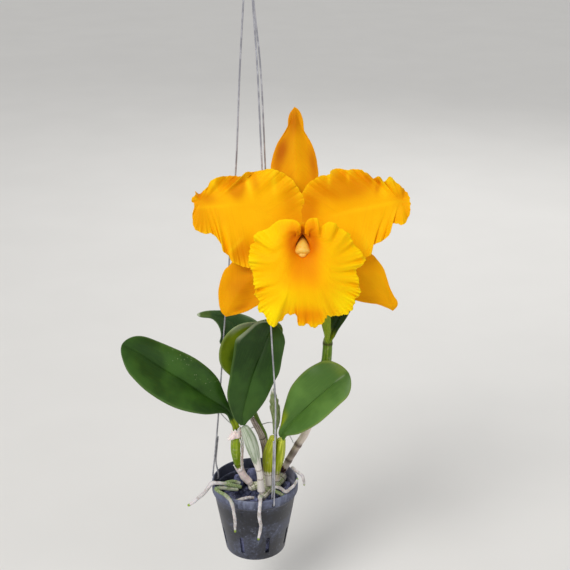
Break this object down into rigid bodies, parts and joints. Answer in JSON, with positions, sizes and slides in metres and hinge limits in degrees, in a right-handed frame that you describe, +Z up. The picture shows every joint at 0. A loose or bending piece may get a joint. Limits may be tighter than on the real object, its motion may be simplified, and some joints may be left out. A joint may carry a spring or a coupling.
{
  "type": "potted cattleya orchid",
  "caption": "Cattleya orchid with a frilled golden flower, leathery leaves and roots, growing on charcoal in a small pot on a wire hanger.",
  "frame": {"origin": "inside top of the hanger's hook, where it bears on a rail; the pot's base is 533 mm below it", "axes": "+Z up along the hanger, +X to the right of the flower's viewer, -Y towards the viewer"},
  "size_m": [0.2132, 0.1159, 0.5351],
  "materials": {
    "pot": "satin black plastic, slightly blue with dust",
    "hanger_wire": "dull galvanised wire",
    "charcoal": "matte charcoal",
    "root": "matte velamen, green at the tips",
    "rhizome": "satin",
    "pseudobulb_green": "satin, ribbed along its length",
    "pseudobulb_silvery": "matte, covered with silvery skin",
    "pseudobulb_brown": "matte dry skin",
    "cane": "satin green above, dry beige below with dark rings",
    "dry_sheath": "matte papery",
    "leaf": "satin, leathery, paler along the edge",
    "flower_stalk": "satin",
    "flower_sheath": "satin, thin",
    "sepal": "velvety",
    "petal": "velvety",
    "lip": "velvety, orange in the throat",
    "column": "waxy"
  },
  "bodies": {
    "root": {"pot": "pot", "hanger_wire_left": "hanger_wire", "hanger_wire_front": "hanger_wire", "hanger_wire_back": "hanger_wire", "hanger_hook": "hanger_wire", "support_tie": "hanger_wire", "charcoal_bed": "charcoal", "charcoal_1": "charcoal", "charcoal_2": "charcoal", "charcoal_3": "charcoal", "charcoal_4": "charcoal", "charcoal_5": "charcoal", "charcoal_6": "charcoal", "charcoal_7": "charcoal", "charcoal_8": "charcoal", "charcoal_9": "charcoal", "charcoal_10": "charcoal", "rhizome": "rhizome", "pseudobulb_left": "pseudobulb_green", "pseudobulb_silvery": "pseudobulb_silvery", "pseudobulb_brown": "pseudobulb_brown", "pseudobulb_back": "pseudobulb_green", "pseudobulb_ribbed": "pseudobulb_green", "pseudobulb_pale": "pseudobulb_green", "pseudobulb_flowering": "cane", "dry_sheath_left": "dry_sheath", "dry_sheath_flowering": "dry_sheath", "old_flower_sheath": "dry_sheath", "leaf_left": "leaf", "leaf_centre": "leaf", "leaf_pale": "leaf", "leaf_drooping": "leaf", "leaf_right": "leaf", "leaf_flowering": "leaf", "root_over_left": "root", "root_on_rim_left": "root", "root_inside_left": "root", "root_front": "root", "root_front_right": "root", "root_on_rim_right": "root", "root_over_right": "root", "root_down_front": "root", "flower_sheath": "flower_sheath", "flower_stalk": "flower_stalk", "flower_receptacle": "flower_stalk", "dorsal_sepal": "sepal", "lateral_sepal_left": "sepal", "lateral_sepal_right": "sepal", "petal_left": "petal", "petal_right": "petal", "lip": "lip", "column": "column", "anther_cap": "column"}
  },
  "joints": []
}
